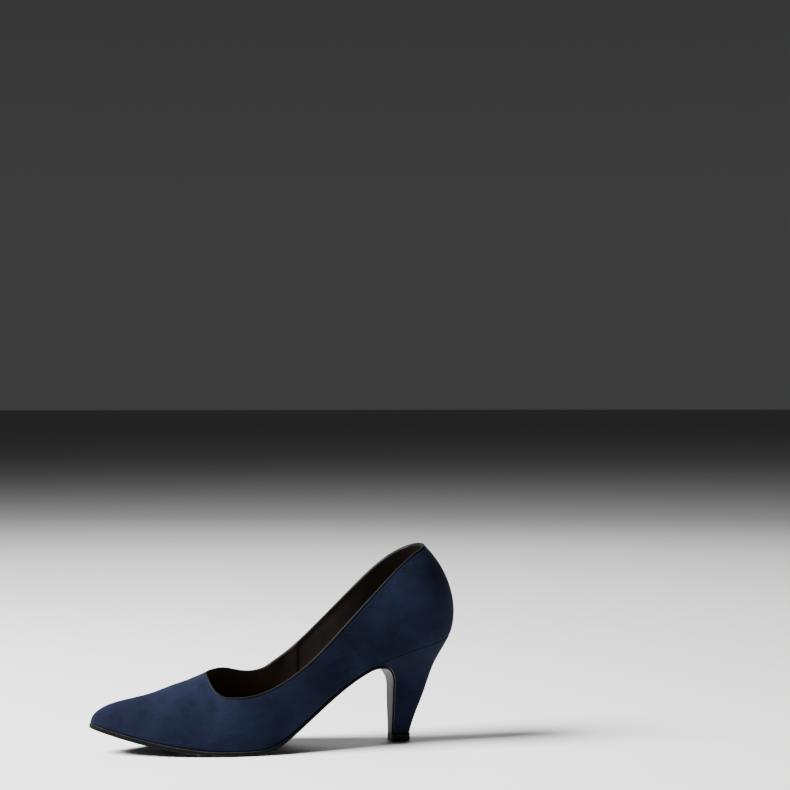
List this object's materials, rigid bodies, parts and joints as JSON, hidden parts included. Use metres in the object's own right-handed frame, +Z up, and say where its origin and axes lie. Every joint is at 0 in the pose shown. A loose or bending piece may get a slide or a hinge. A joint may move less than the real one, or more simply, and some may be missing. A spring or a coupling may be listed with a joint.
{
  "type": "high heel pump",
  "caption": "Pointed-toe dress pump with a wrapped cone heel: suede upper bound round the topline, padded sock and a sole that runs on down the heel breast.",
  "frame": {"origin": "middle of the shoe's box in plan, on the floor", "axes": "+Z up; the toe points to -X and the heel to +X; the wearer's outer side faces -Y"},
  "size_m": [0.2314, 0.0743, 0.1253],
  "materials": {
    "upper_suede": "navy suede with a short nap",
    "binding_leather": "thin black folded leather, satin",
    "lining_leather": "black lining leather, matt",
    "sock_leather": "tan smooth leather, satin",
    "sole_leather": "dark dressed sole leather, semi-gloss, edge inked black",
    "top_piece_rubber": "black hard rubber",
    "insole_board": "fibreboard",
    "stiffening_sheet": "impregnated non-woven sheet",
    "tape_fabric": "woven reinforcing tape",
    "foam_padding": "latex foam",
    "heel_plastic": "moulded plastic",
    "steel_parts": "bare steel"
  },
  "bodies": {
    "root": {"upper": "upper_suede", "heel_cover": "upper_suede", "topline_binding": "binding_leather", "vamp_lining": "lining_leather", "quarter_lining": "lining_leather", "sock_lining": "sock_leather", "outsole": "sole_leather", "top_piece": "top_piece_rubber", "insole_forepart": "insole_board", "shank_board": "insole_board", "toe_puff": "stiffening_sheet", "heel_counter": "stiffening_sheet", "side_stiffener_lateral": "stiffening_sheet", "side_stiffener_medial": "stiffening_sheet", "topline_tape": "tape_fabric", "back_seam_tape": "tape_fabric", "forepart_filler": "foam_padding", "forefoot_pad": "foam_padding", "heel_pad": "foam_padding", "heel_block": "heel_plastic", "steel_shank": "steel_parts", "top_piece_pin": "steel_parts", "heel_sleeve": "steel_parts", "heel_screw": "steel_parts", "heel_nail_1": "steel_parts", "heel_nail_2": "steel_parts", "heel_nail_3": "steel_parts", "heel_nail_4": "steel_parts", "heel_nail_5": "steel_parts", "shank_rivet_front": "steel_parts", "shank_rivet_rear": "steel_parts"}
  },
  "joints": []
}
